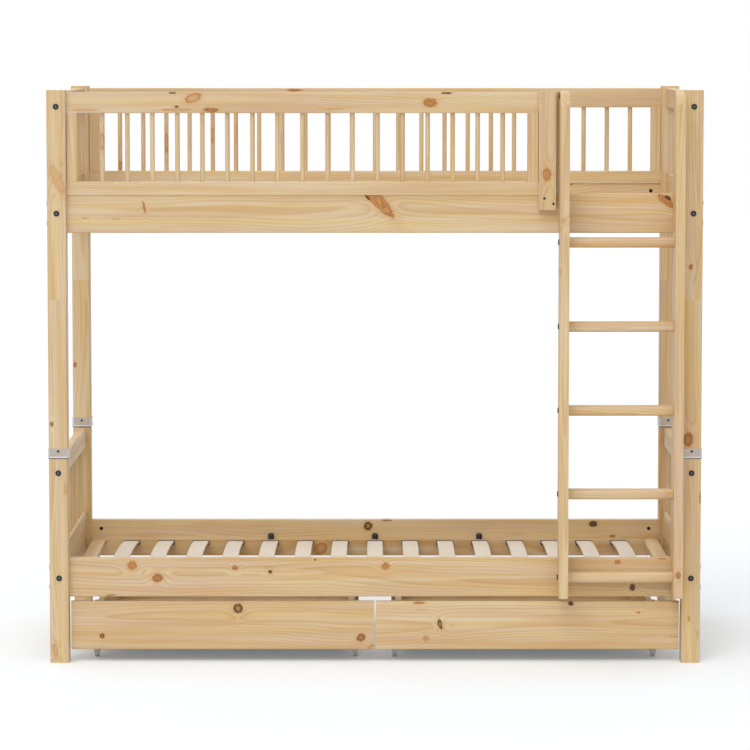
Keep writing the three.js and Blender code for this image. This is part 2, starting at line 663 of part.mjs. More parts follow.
// Drawers: a box behind a wider front. Each castor is a plate on the side of the box with a fork
// below the box, in which the wheel turns.
function castorHousing(face, outer, y) {
  const half = CASTOR_LENGTH / 2;
  const ys = [y - half, y + half];
  const low = AXLE_Z - CASTOR_FOOT;
  const middle = face + outer * WHEEL_OFFSET;
  const forkXs = [middle - CASTOR_FORK / 2, middle + CASTOR_FORK / 2];
  const plate = block(...corners([face, face + outer * CASTOR_PLATE], ys, [BOX_BOTTOM, CASTOR_TOP]));
  const fork = block(...corners(forkXs, ys, [low, BOX_BOTTOM]));
  const slot = WHEEL_WIDTH / 2 + WHEEL_GAP;
  const well = block(...corners([middle - slot, middle + slot], [y - half - 1, y + half + 1],
    [low - 1, AXLE_Z + WHEEL_DIAMETER / 2 + WHEEL_CROWN]));
  const boreRadius = (AXLE_DIAMETER / 2 + AXLE_PLAY) / Math.cos(Math.PI / WHEEL_FACETS);
  const bore = rod([forkXs[0] - 1, y, AXLE_Z], AXIS.x, CASTOR_FORK + 2, boreRadius, WHEEL_FACETS);
  return { shell: plate.add(fork), well, bore };
}

function drawer(end) {
  const name = `drawer_${endName(end)}`;
  const front = RAIL_SETBACK;
  const inner = end * DRAWER_GAP / 2;
  const outer = end * (POST_INNER - DRAWER_END_GAP);
  addPiece(`${name}_front`, [board('x', ...corners([inner, outer], [front, front + FRONT_THICKNESS],
    [FRONT_BOTTOM, FRONT_BOTTOM + FRONT_HEIGHT]))], PINE);

  const boxNear = inner + end * BOX_OVERHANG_INNER;
  const boxFar = outer - end * BOX_OVERHANG_OUTER;
  const ys = [front + FRONT_THICKNESS, front + FRONT_THICKNESS + BOX_DEPTH];
  const zs = [BOX_BOTTOM, BOX_BOTTOM + BOX_HEIGHT];
  const floorZ = BOX_BOTTOM + FLOOR_LIFT;
  const floorXs = [boxNear + end * (BOX_WALL - FLOOR_GROOVE), boxFar - end * (BOX_WALL - FLOOR_GROOVE)];
  const floorYs = [ys[0], ys[1] - BOX_WALL + FLOOR_GROOVE];
  const groove = block(...corners([floorXs[0] - end * FIT, floorXs[1] + end * FIT],
    [ys[0] - 1, floorYs[1] + FIT], [floorZ - FIT, floorZ + FLOOR_THICKNESS + FIT]));

  for (const [place, face, outward] of [['inner', boxNear, -end], ['outer', boxFar, end]]) {
    const wall = block(...corners([face, face - outward * BOX_WALL], ys, zs)).subtract(groove);
    const axles = [ys[0] + CASTOR_INSET, ys[1] - CASTOR_INSET];
    const castors = axles.map((y) => castorHousing(face, outward, y));
    const side = castors.reduce((solid, { shell }) => solid.add(shell), wall);
    addPiece(`${name}_side_${place}`, [cutBy(side, castors.flatMap(({ well, bore }) => [well, bore]))], PINE);
    axles.forEach((y, i) => {
      const wheel = castorWheel(face, outward, y);
      addPiece(`${name}_wheel_${place}_${['front', 'rear'][i]}`, [wheel], WHEEL_PLASTIC);
    });
  }
  const backXs = [boxNear + end * BOX_WALL, boxFar - end * BOX_WALL];
  addPiece(`${name}_back`, [block(...corners(backXs, [ys[1] - BOX_WALL, ys[1]], zs)).subtract(groove)], PINE);
  const floor = block(...corners(floorXs, floorYs, [floorZ, floorZ + FLOOR_THICKNESS]));
  addPiece(`${name}_floor`, [floor], PLYWOOD);
}

// A wheel with stub axles that turn in the cheeks of its housing.
function castorWheel(face, outward, y) {
  const axle = AXLE_DIAMETER / 2;
  const rim = WHEEL_DIAMETER / 2;
  const half = CASTOR_FORK / 2;
  const tread = WHEEL_WIDTH / 2;
  const profile = [
    [0, -half], [axle, -half], [axle, -tread], [rim, -tread],
    [rim, tread], [axle, tread], [axle, half], [0, half],
  ];
  return turned(profile, [face + outward * WHEEL_OFFSET, y, AXLE_Z], AXIS.x, WHEEL_FACETS);
}

bed.position.y = -(LADDER_FRONT + BED_WIDTH + BOLT_HEAD_HEIGHT) / 2;

posts();
extensions();
couplings();
sideRails();
endPanels();
guard(-1, -POST_INNER, NEWEL_LEFT);
guard(1, -POST_INNER, POST_INNER);
newel();
ladder();
MODULES.forEach(slattedBase);
SIDES.forEach(drawer);

export default bed;
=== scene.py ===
import itertools
import math

import bmesh
import bpy
from mathutils import Euler, Matrix, Vector


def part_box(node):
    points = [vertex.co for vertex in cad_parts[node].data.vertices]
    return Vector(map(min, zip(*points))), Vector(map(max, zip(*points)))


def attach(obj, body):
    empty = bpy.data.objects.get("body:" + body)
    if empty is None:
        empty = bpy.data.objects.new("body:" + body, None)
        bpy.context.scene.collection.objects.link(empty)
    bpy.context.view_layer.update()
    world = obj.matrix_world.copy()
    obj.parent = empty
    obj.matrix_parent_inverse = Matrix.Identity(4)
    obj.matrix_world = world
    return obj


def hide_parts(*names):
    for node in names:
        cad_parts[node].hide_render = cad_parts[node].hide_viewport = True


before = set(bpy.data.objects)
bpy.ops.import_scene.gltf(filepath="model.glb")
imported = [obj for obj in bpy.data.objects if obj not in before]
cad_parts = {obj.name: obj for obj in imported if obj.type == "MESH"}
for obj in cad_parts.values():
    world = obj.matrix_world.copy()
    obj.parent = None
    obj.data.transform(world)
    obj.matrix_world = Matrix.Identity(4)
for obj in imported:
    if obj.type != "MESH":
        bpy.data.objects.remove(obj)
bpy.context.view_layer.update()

# Places taken from the frame, in metres
HALF_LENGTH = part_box("post_lower_front_right")[1].x
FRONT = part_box("post_lower_front_left")[0].y
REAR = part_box("post_lower_rear_left")[1].y
POST = HALF_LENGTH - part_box("post_lower_front_right")[0].x
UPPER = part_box("post_upper_front_left")[0].z
MIDDLE = (FRONT + REAR) / 2
SIDES = (-1, 1)                   # left and right, or front and rear
MODULES = (0.0, UPPER)            # the feet of the lower and the upper bed
COUPLINGS = [f"post_coupling_{side}_{end}" for side in ("front", "rear")
             for end in ("left", "right")]

# Counts, and sizes in metres, that the frame doesn't give by itself
RAIL_SETBACK = 0.025
RAIL_THICKNESS = 0.028
RAIL_BOTTOM = 0.211
RAIL_TOP = 0.337
RAIL_BOLT_SPREAD = 0.032
END_BOARD_TOP = 0.369
TOP_RAIL_BOTTOM = 0.592
TOP_BOLT_RISE = 0.021
GUARD_BASE_TOP = 1.543
NUT_FROM_END = 0.034
BEAM_BOTTOM = 0.216
BEAM_THICKNESS = 0.025
BEAM_TOP = 0.271
SLAT_COUNT = 15
SLAT_PITCH = 0.120
SLAT_WIDTH = 0.053
SLAT_THICKNESS = 0.008
SLAT_RISE = 0.020
CAP_WIDTH = 0.057
CAP_DEPTH = 0.030
CAP_HEIGHT = 0.014
CAP_DROP = 0.002
CAP_WALL = 0.0017
SLAT_SOCKET = 0.024
END_SLAT_WIDTH = 0.049
END_SLAT_THICKNESS = 0.020
END_SLAT_INSET = 0.003
PEGGED_SLATS = (-3, 0, 3)
LADDER_TOP_BOLT_DROP = 0.015
CASTOR_REACH = 0.0139             # beyond the side of the drawer's box
BOX_BOTTOM = 0.0558
COUPLING_BOTTOM = 0.659
COUPLING_HEIGHT = 0.033
COUPLING_WALL = 0.002
COUPLING_OUTER = 0.0656
COUPLING_EDGE = 0.007
COUPLING_SCREW_HEIGHT = 0.683
SPINDLE_PITCH = 0.0796
RUNG_COUNT = 5
CAD_HEAD_HEIGHT = 0.003
NEWEL_SCREWS = ((0.27, 0.037), (0.7, 0.020))    # share of the board's width, height above its foot


def colour(red, green, blue):
    """An sRGB colour of 0 to 255 as the linear one that a shader takes."""
    def linear(value):
        value /= 255
        return value / 12.92 if value <= 0.04045 else ((value + 0.055) / 1.055) ** 2.4
    return (linear(red), linear(green), linear(blue), 1.0)


# Shader graphs

class Graph:
    """Adds nodes to a tree. An input is a number, a tuple or the output of another node."""

    def __init__(self, tree):
        self.tree = tree

    def add(self, kind, inputs, output=0, **settings):
        node = self.tree.nodes.new(kind)
        for name, value in settings.items():
            setattr(node, name, value)
        self.feed(node, inputs)
        return node.outputs[output]

    def feed(self, node, inputs):
        for key, value in inputs.items():
            if isinstance(value, bpy.types.NodeSocket):
                self.tree.links.new(value, node.inputs[key])
            else:
                node.inputs[key].default_value = value

    def group(self, tree, inputs):
        node = self.tree.nodes.new("ShaderNodeGroup")
        node.node_tree = tree
        self.feed(node, inputs)
        return node.outputs

    def coordinates(self, kind="Object"):
        return self.add("ShaderNodeTexCoord", {}, kind)

    def math(self, operation, a, b=0.0, c=0.0, clamp=False):
        return self.add("ShaderNodeMath", {0: a, 1: b, 2: c}, operation=operation, use_clamp=clamp)

    def vector(self, operation, a, b):
        return self.add("ShaderNodeVectorMath", {0: a, 1: b}, operation=operation)

    def scaled(self, a, factor):
        return self.add("ShaderNodeVectorMath", {0: a, "Scale": factor}, operation="SCALE")

    def length(self, a):
        return self.add("ShaderNodeVectorMath", {0: a}, 1, operation="LENGTH")

    def combine(self, x, y, z):
        return self.add("ShaderNodeCombineXYZ", {0: x, 1: y, 2: z})

    def separate(self, a):
        node = self.tree.nodes.new("ShaderNodeSeparateXYZ")
        self.tree.links.new(a, node.inputs[0])
        return node.outputs

    def noise(self, place, scale=1.0, detail=2.0, output="Fac"):
        inputs = {"Vector": place, "Scale": scale, "Detail": detail}
        return self.add("ShaderNodeTexNoise", inputs, output)

    def stretched(self, place, scales, detail):
        """Noise with a scale of its own along each axis."""
        return self.noise(self.vector("MULTIPLY", place, scales), detail=detail)

    def sway(self, noise, amount, base, clamp=False):
        """The base, moved by how far the noise lies from its mean of a half."""
        return self.math("MULTIPLY_ADD", self.math("SUBTRACT", noise, 0.5), amount, base, clamp)

    def step(self, value, low, high, start=0.0, end=1.0):
        """Goes smoothly from start to end as the value goes from low to high."""
        return self.add("ShaderNodeMapRange", {"Value": value, "From Min": low, "From Max": high,
                                               "To Min": start, "To Max": end},
                        interpolation_type="SMOOTHSTEP")

    def mix(self, factor, a, b):
        return self.add("ShaderNodeMix", {0: factor, 6: a, 7: b}, 2, data_type="RGBA")

    def mix_vector(self, factor, a, b):
        return self.add("ShaderNodeMix", {0: factor, 4: a, 5: b}, 1, data_type="VECTOR")


def new_group(name, inputs, outputs):
    tree = bpy.data.node_groups.new(name, "ShaderNodeTree")
    for label, kind in inputs:
        tree.interface.new_socket(label, in_out="INPUT", socket_type=kind)
    for label, kind in outputs:
        tree.interface.new_socket(label, in_out="OUTPUT", socket_type=kind)
    enter = tree.nodes.new("NodeGroupInput")
    leave = tree.nodes.new("NodeGroupOutput")
    return tree, Graph(tree), enter.outputs, leave.inputs


VECTOR, FLOAT, COLOUR = "NodeSocketVector", "NodeSocketFloat", "NodeSocketColor"

# Pine: colours
EARLY_WOOD = colour(223, 198, 155)
LATE_WOOD = colour(190, 141, 84)
ROSY_WOOD = colour(209, 169, 129)
KNOT_HALO = colour(208, 153, 93)
RESIN_PALE = colour(207, 147, 81)
RESIN_DEEP = colour(163, 96, 38)
KNOT_MIDDLE = colour(176, 122, 66)
BLACK_KNOT_MIDDLE = colour(94, 68, 35)
KNOT_RIM = colour(88, 62, 30)

# Pine: growth rings, in metres
RING_PITCH = 0.0066
PITH_DEPTH = 0.052
PITH_SWING = 0.05
STEM_WANDER = 0.16
STEM_RIPPLE = 0.012
KNOT_BULGE = 0.011
BULGE_FALLOFF = -0.22
EULER = 2.718

# Pine: how strongly each feature tones the wood
LATE_TONE = 0.51
FIBRE_TONE = 0.34
STREAK_TONE = 0.95
BROAD_TONE = 0.75
ROSY_TONE = 0.55
GREEN_SWING = 0.25
BLUE_SWING = 1.35
HALO_TONE = 0.36

# Knots
KNOT_RAGGED = 0.7
KNOT_RING_RATE = 16.0
NO_KNOT = 99.0                    # farther than any
KNOT_WOBBLE = 0.0070
KNOTS_PER_METRE = 4.2             # where they are scattered
KNOTLESS_SHARE = 0.66
KNOT_SIZE_SWING = 0.09
SMALLEST_KNOT = 0.0004


def grain_group():
    """Sawn pine. Place is in metres from the board's centre, with x along the grain, y across the
    face and z through it. Knot is the distance from the nearest knot, and 1 at its edge. Depth goes
    from 0 for a resin mark to 1 for a dark knot. Noise is scaled along, across and through."""
    tree, g, enter, leave = new_group(
        "Pine grain",
        [("Place", VECTOR), ("Seed", FLOAT), ("Knot", FLOAT), ("Depth", FLOAT), ("Warmth", FLOAT)],
        [("Color", COLOUR), ("Roughness", FLOAT), ("Height", FLOAT)])
    place, seed, knot, warmth = enter["Place"], enter["Seed"], enter["Knot"], enter["Warmth"]
    depth_of_knot = enter["Depth"]
    shift = g.combine(g.math("MULTIPLY", seed, 3.7), g.math("MULTIPLY", seed, 1.3), seed)
    y, z = g.separate(place)[1:3]
    own = g.vector("ADD", place, shift)

    # The stem wanders and bends along the board, which draws long flames on its face
    slow = g.stretched(own, (0.9, 3.0, 3.0), 1.0)
    waves = g.stretched(own, (5.0, 16.0, 16.0), 3.0)
    wander = g.math("MULTIPLY_ADD", slow, STEM_WANDER, -STEM_WANDER / 2)
    across = g.math("ADD", y, wander)
    ripple = g.math("MULTIPLY_ADD", waves, STEM_RIPPLE, -STEM_RIPPLE / 2)
    across = g.math("ADD", across, ripple)
    pith = g.math("MULTIPLY_ADD", g.noise(own, 0.7, 0.0), PITH_SWING, PITH_DEPTH - PITH_SWING / 2)
    radius = g.length(g.combine(across, g.math("ADD", z, pith), 0.0))
    squared = g.math("MULTIPLY", knot, knot)
    near = g.math("POWER", EULER, g.math("MULTIPLY", squared, BULGE_FALLOFF))
    radius = g.math("MULTIPLY_ADD", near, KNOT_BULGE, radius)
    ring = g.math("FRACT", g.math("DIVIDE", radius, RING_PITCH))
    late = g.math("MULTIPLY", g.math("POWER", ring, 2.2), g.step(ring, 1.0, 0.86))

    fibres = g.stretched(own, (14.0, 700.0, 700.0), 2.0)
    streaks = g.stretched(own, (1.3, 52.0, 52.0), 3.0)
    broad = g.stretched(own, (1.1, 9.0, 9.0), 2.0)
    rosy = g.stretched(own, (2.0, 24.0, 24.0), 2.0)
    hue = g.stretched(own, (1.7, 44.0, 44.0), 3.0)
    tone = g.math("MULTIPLY", late, LATE_TONE)
    tone = g.sway(fibres, FIBRE_TONE, tone)
    tone = g.sway(streaks, STREAK_TONE, tone)
    tone = g.sway(broad, BROAD_TONE, tone)
    tone = g.math("ADD", tone, warmth, clamp=True)
    wood = g.mix(tone, EARLY_WOOD, LATE_WOOD)
    wood = g.mix(g.step(rosy, 0.46, 0.72, 0.0, ROSY_TONE), wood, ROSY_WOOD)
    paler = g.math("SUBTRACT", 0.5, hue)
    green = g.math("MULTIPLY_ADD", paler, GREEN_SWING, 1.0)
    blue = g.math("MULTIPLY_ADD", paler, BLUE_SWING, 1.0)
    wood = g.vector("MULTIPLY", wood, g.combine(1.0, green, blue))

    # Knots: a warm halo, and a ragged heart. A resin mark's heart has orange rings round a clear
    # middle, a knot's heart is dark with a lighter middle, and the darkest are dark all over
    flecks = g.stretched(own, (150.0, 430.0, 430.0), 3.0)
    ragged = g.sway(flecks, KNOT_RAGGED, knot)
    halo = g.math("MULTIPLY", g.step(knot, 2.1, 0.8), HALO_TONE)
    wood = g.mix(halo, wood, KNOT_HALO)
    wave = g.math("SINE", g.math("MULTIPLY", ragged, KNOT_RING_RATE))
    rings = g.math("MULTIPLY_ADD", wave, 0.5, 0.5)
    orange = g.mix(rings, RESIN_PALE, RESIN_DEEP)
    middle = g.mix(g.step(depth_of_knot, 0.91, 0.99), KNOT_MIDDLE, BLACK_KNOT_MIDDLE)
    dark = g.mix(g.step(ragged, 0.20, 0.72), middle, KNOT_RIM)
    heart = g.mix(g.step(depth_of_knot, 0.25, 0.85), orange, dark)
    inside = g.step(ragged, 1.12, 0.84)
    strength = g.step(depth_of_knot, -0.1, 0.4, 0.22, 1.0)
    clear = g.math("MULTIPLY", g.step(ragged, 0.85, 0.40),
                   g.step(depth_of_knot, 0.36, 0.30, 0.0, 0.6))
    cover = g.math("MULTIPLY", strength, g.math("SUBTRACT", 1.0, clear))
    wood = g.mix(g.math("MULTIPLY", inside, cover), wood, heart)

    rough = g.math("MULTIPLY_ADD", late, -0.08, g.math("MULTIPLY_ADD", streaks, 0.12, 0.46))
    height = g.math("ADD", g.math("MULTIPLY", late, 0.35), g.math("MULTIPLY", fibres, 0.5))
    height = g.math("ADD", height, g.math("MULTIPLY", inside, 0.6))
    tree.links.new(wood, leave["Color"])
    tree.links.new(rough, leave["Roughness"])
    tree.links.new(height, leave["Height"])
    return tree


def scattered_knots_group():
    """Distance from the nearest of some scattered knots, for boards that KNOTS doesn't list."""
    tree, g, enter, leave = new_group(
        "Scattered knots", [("Place", VECTOR), ("Seed", FLOAT)], [("Knot", FLOAT)])
    x, y = g.separate(enter["Place"])[:2]
    flat = g.combine(x, y, g.math("MULTIPLY", enter["Seed"], 0.37))
    voronoi = tree.nodes.new("ShaderNodeTexVoronoi")
    g.feed(voronoi, {"Vector": flat, "Scale": KNOTS_PER_METRE})
    chance = g.separate(voronoi.outputs["Color"])[0]
    size = g.math("MULTIPLY", g.math("SUBTRACT", chance, KNOTLESS_SHARE), KNOT_SIZE_SWING)
    size = g.math("MAXIMUM", size, SMALLEST_KNOT)
    knot = g.math("DIVIDE", voronoi.outputs["Distance"], g.math("MULTIPLY", size, KNOTS_PER_METRE))
    tree.links.new(knot, leave["Knot"])
    return tree


GRAIN = grain_group()
SCATTERED = scattered_knots_group()

# Knots and resin marks that the photograph shows, in millimetres along X and Z: where each lies,
# its half width and half height, its tilt in degrees and how dark it is, from 0 to 1
KNOTS = {
    "front_guard": [(-643, 1825, 12, 3, 0, 1.0), (-630, 1781, 7, 3, 0, 1.0),
                    (-578, 1809, 27, 14, 20, 0.3), (-631, 1772, 46, 4, 0, 0.18),
                    (-522, 1771, 24, 7, 0, 0.5), (-921, 1771, 42, 4, 0, 0.14),
                    (176, 1794, 22, 14, 0, 0.38), (228, 1825, 18, 3, 0, 1.0),
                    (-131, 1775, 28, 2, 0, 0.0), (-868, 1670, 8, 26, 0, 0.15)],
    "side_rail_upper_front": [(-735, 1462, 4, 17, 11, 0.4), (-2, 1498, 20, 92, 41, 0.35),
                              (-24, 1494, 5, 13, 41, 1.0), (926, 1482, 11, 33, 52, 0.35),
                              (931, 1491, 7, 13, 52, 1.0),
                              (-925, 1427, 9, 3, 0, 0.1), (-823, 1425, 10, 2, 0, 0.0)],
    "entrance_newel": [(546, 1567, 13, 20, 0, 0.33)],
    "side_rail_lower_front": [(-780, 312, 15, 14, 0, 0.35), (-698, 271, 17, 14, 0, 0.5),
                              (-449, 304, 9, 7, 0, 0.5), (-337, 291, 7, 6, 0, 1.0),
                              (-300, 292, 48, 2, 0, 0.0), (-192, 330, 4, 3, 0, 0.9),
                              (34, 310, 13, 11, 0, 0.35), (778, 323, 10, 7, 0, 0.4),
                              (827, 241, 9, 11, 0, 1.0), (-847, 216, 16, 2, 0, 0.6),
                              (922, 334, 13, 2, 0, 0.5)],
    "drawer_left_front": [(-877, 84, 8, 8, 0, 0.8), (-440, 173, 16, 16, 0, 0.9),
                          (-45, 78, 15, 12, 35, 0.6),
                          (-13, 48, 10, 5, 30, 0.25)],
    "drawer_right_front": [(141, 191, 20, 4, 0, 0.35), (148, 169, 11, 2, 0, 0.0),
                           (209, 121, 7, 17, 15, 0.85), (163, 76, 9, 8, 0, 0.3),
                           (629, 189, 9, 7, 0, 1.0), (846, 159, 7, 3, 0, 0.4),
                           (966, 193, 13, 3, 0, 0.2), (960, 82, 16, 2, 0, 0.1)],
    "side_rail_lower_rear": [(-24, 314, 15, 15, 0, 0.8), (41, 334, 17, 3, 0, 0.6),
                             (755, 322, 14, 11, 0, 1.0), (822, 279, 9, 5, 0, 0.5)],
    "base_beams_lower": [(-189, 239, 24, 20, 30, 0.3), (785, 246, 18, 10, 0, 0.0)],
    "side_rail_upper_rear": [(675, 1498, 6, 4, 0, 0.5)],
    "post_upper_front_left": [(-1008, 1550, 15, 50, 25, 0.0), (-1001, 1530, 5, 24, 25, 0.12)],
    "leg_extension_front_left": [(-1032, 770, 5, 7, 0, 0.6)],
    "post_lower_front_left": [(-990, 562, 4, 18, 0, 0.1), (-1026, 40, 8, 22, 10, 0.15)],
    "leg_extension_front_right": [(1000, 721, 16, 23, 0, 0.5)],
    "post_upper_front_right": [(1004, 1273, 6, 9, 0, 0.5)],
    "post_lower_front_right": [(1007, 143, 4, 7, 0, 0.3), (1035, 91, 4, 13, 0, 0.0),
                               (1040, 532, 3, 19, 0, 0.5)],
    "leg_extension_rear_left": [(-1034, 876, 6, 9, 0, 0.5)],
    "ladder_stile_left": [(598, 1425, 7, 8, 0, 0.0), (586, 1260, 4, 11, 0, 0.1)],
    "ladder_stile_right": [(964, 297, 8, 11, 0, 0.45)],
    "rear_guard": [(-875, 1561, 7, 14, 0, 0.3), (-717, 1639, 7, 34, 0, 0.25),
                   (-559, 1666, 7, 25, 0, 0.15), (-275, 1820, 25, 4, 0, 0.5)],
}


def knots_at(g, place, marks):
    """Distance from the nearest mark on a face that looks along Y, 1 at its edge, and its depth."""
    parts = g.separate(place)
    face = g.combine(parts[0], parts[2], 0.0)
    wobble = g.vector("SUBTRACT", g.noise(place, 80.0, 4.0, "Color"), (0.5, 0.5, 0.5))
    face = g.vector("ADD", face, g.scaled(wobble, KNOT_WOBBLE))
    nearest, depth = NO_KNOT, 0.0
    for along, up, half_width, half_height, tilt, own_depth in marks:
        mapped = g.add("ShaderNodeMapping", {
            "Vector": face,
            "Location": (along / 1000, up / 1000, 0),
            "Rotation": (0, 0, math.radians(tilt)),
            "Scale": (half_width / 1000, half_height / 1000, 1),
        }, vector_type="TEXTURE")
        distance = g.length(g.vector("MULTIPLY", mapped, (1, 1, 0)))
        closer = g.math("LESS_THAN", distance, nearest)
        depth = g.add("ShaderNodeMix", {0: closer, 2: depth, 3: own_depth}, 0, data_type="FLOAT")
        nearest = g.math("MINIMUM", distance, nearest)
    return nearest, depth


def new_material(name):
    material = bpy.data.materials.new(name)
    material.use_nodes = True
    material.node_tree.nodes.clear()
    return material, Graph(material.node_tree)


def surface(g, base, roughness, height, bump=0.1, relief=0.0004, **settings):
    """A Principled surface. Settings are the sockets that have one value all over."""
    shader = g.tree.nodes.new("ShaderNodeBsdfPrincipled")
    out = g.tree.nodes.new("ShaderNodeOutputMaterial")
    normal = g.add("ShaderNodeBump", {"Height": height, "Strength": bump, "Distance": relief})
    g.feed(shader, {"Base Color": base, "Roughness": roughness, "Normal": normal})
    g.feed(shader, {key.replace("_", " "): value for key, value in settings.items()})
    g.feed(out, {"Surface": shader.outputs[0]})


# Pine: what sets one board apart from another
SPINDLE_SHIFT = 1.7               # along the grain, from one spindle to the next
SEEDS = 97
SEED_STEP = 0.61
SCATTERED_DEPTH = 0.45            # how dark the scattered knots are
PINE_BUMP = 0.25
PINE_RELIEF = 0.0003
CASTOR_GAP = 0.0005               # from the box's side to where the plates' colour starts

# Which object axes run along the grain, across the face and through the board
GRAIN_AXES = {"x": (0, 2, 1), "y": (1, 2, 0), "z": (2, 0, 1), "z_end": (2, 1, 0)}


def board_place(g, place, centre, grain):
    parts = g.separate(g.vector("SUBTRACT", place, tuple(centre)))
    return g.combine(*[parts[i] for i in GRAIN_AXES[grain]])


def seed_of(name):
    """A number from the node's name, so that boards of one kind differ in grain."""
    return sum((i + 1) * ord(letter) for i, letter in enumerate(name)) % SEEDS * SEED_STEP


# How much warmer and darker than the rest some boards are, or how much paler where it is below 0
WARMTH = {
    "drawer_left_front": 0.22, "drawer_right_front": 0.13, "drawer": 0.10,
    "side_rail_lower_front": 0.20, "side_rail_lower_rear": -0.04, "side_rail_upper_front": 0.07,
    "side_rail_upper_rear": 0.14, "base_beams": 0.06, "rear_guard": 0.06, "ladder_rung": 0.12,
    "ladder_stile": 0.17, "leg_extension": 0.04, "end_slat": 0.12, "end_panel": 0.03,
    "post_lower_front_left": 0.16,
}
CASTOR_GREY = colour(240, 245, 246)
CASTOR_PLATE_GREY = colour(148, 143, 132)


def pine(name, centre, grain, uprights=None, castors=None):
    """Pine for one node. Uprights is (low, high, grain, axis): between those heights the node's
    spindles stand along that axis, each with its own grain. Castors is (x, side, height): beyond
    that x on that side the node is the castors' plates, and below that height their forks."""
    material, g = new_material("pine_" + name)
    place = g.coordinates()
    local = board_place(g, place, centre, grain)
    seed = seed_of(name)
    x, y, z = g.separate(place)[:]
    if uprights:
        low, high, upright_grain, axis = uprights
        standing = g.math("MULTIPLY", g.math("GREATER_THAN", z, low), g.math("LESS_THAN", z, high))
        from_centre = g.math("SUBTRACT", (x, y)[axis], centre[axis])
        cells = g.math("ADD", g.math("DIVIDE", from_centre, SPINDLE_PITCH), 0.5)
        each = g.math("FLOOR", cells)
        own = g.math("MULTIPLY", g.math("SUBTRACT", g.math("FRACT", cells), 0.5), SPINDLE_PITCH)
        parts = g.separate(board_place(g, place, centre, upright_grain))
        along = g.math("MULTIPLY_ADD", each, SPINDLE_SHIFT, parts[0])
        local = g.mix_vector(standing, local, g.combine(along, own, parts[2]))
    if name in KNOTS:
        knot, depth = knots_at(g, place, KNOTS[name])
    else:
        knot = g.group(SCATTERED, {"Place": local, "Seed": seed})["Knot"]
        depth = SCATTERED_DEPTH
    warmth = next((value for start, value in WARMTH.items() if name.startswith(start)), 0.0)
    grained = g.group(GRAIN, {"Place": local, "Seed": seed, "Knot": knot, "Depth": depth,
                              "Warmth": warmth})
    base, rough = grained["Color"], grained["Roughness"]
    if castors:
        face, side, height = castors
        just_out = face + side * CASTOR_GAP
        plate = g.math("GREATER_THAN" if side > 0 else "LESS_THAN", x, just_out)
        fork = g.math("LESS_THAN", z, height)
        fused = g.math("MAXIMUM", plate, fork)
        base = g.mix(fused, base, g.mix(fork, CASTOR_PLATE_GREY, CASTOR_GREY))
    surface(g, base, rough, grained["Height"], PINE_BUMP, PINE_RELIEF, Specular_IOR_Level=0.42)
    return material


# Other materials
FINE_TONE = 1.3
SOFT_TONE = 0.8
ROUGHNESS_SWING = 0.16
FINE_RELIEF = 0.0003
ZINC_PALE = colour(196, 184, 174)
ZINC_DEEP = colour(168, 156, 146)
# Painted light on the sleeves: highlights at the corners and along the rolled edge, shade in the
# groove
ZINC_CORNER_HIGHLIGHT = colour(226, 230, 234)
ZINC_EDGE_HIGHLIGHT = colour(205, 209, 214)
ZINC_GROOVE_SHADE = colour(112, 116, 122)

# Heights over a sleeve's foot between which the painted highlight of the rolled edge and the
# painted shade of the groove set in
ROLL_BOTTOM = (0.0024, 0.0034)
ROLL_TOP = (0.0076, 0.0064)
GROOVE_TOP = (0.0030, 0.0022)


def streaked(name, light, dark, scales, roughness, bump=0.1, **settings):
    """A plain material with fine streaks or speckles of two near colours."""
    material, g = new_material(name)
    place = g.coordinates()
    fine = g.stretched(place, scales, 4.0)
    soft = g.noise(place, 9.0)
    tone = g.sway(soft, SOFT_TONE, g.sway(fine, FINE_TONE, 0.5), clamp=True)
    rough = g.math("MULTIPLY_ADD", fine, ROUGHNESS_SWING, roughness - ROUGHNESS_SWING / 2)
    surface(g, g.mix(tone, light, dark), rough, fine, bump, FINE_RELIEF, **settings)
    return material


def zinc():
    """Plated steel sleeves: a painted highlight at the corners and rolled edge, painted shade in
    the groove.
    """
    material, g = new_material("zinc_sleeve")
    place = g.coordinates()
    across, back = g.separate(g.coordinates("Normal"))[:2]
    fine = g.stretched(place, (60, 60, 700), 4.0)
    base = g.mix(g.sway(fine, FINE_TONE, 0.5, clamp=True), ZINC_PALE, ZINC_DEEP)
    # Painted highlight on the rounded corners, where the surface faces half sideways
    corner_highlight = g.math("ABSOLUTE", g.math("MULTIPLY", across, back))
    base = g.mix(g.step(corner_highlight, 0.20, 0.48, 0.0, 0.6), base, ZINC_CORNER_HIGHLIGHT)
    height = g.math("SUBTRACT", g.separate(place)[2], COUPLING_BOTTOM)
    # Painted highlight: a lighter band along the rolled lower edge
    rolled_edge_highlight = g.math("MULTIPLY", g.step(height, *ROLL_BOTTOM), g.step(height, *ROLL_TOP))
    base = g.mix(g.math("MULTIPLY", rolled_edge_highlight, 0.55), base, ZINC_EDGE_HIGHLIGHT)
    # Painted shade: a dark band in the groove under the rolled edge
    base = g.mix(g.step(height, *GROOVE_TOP), base, ZINC_GROOVE_SHADE)
    surface(g, base, 0.36, fine, Metallic=0.45)
    return material


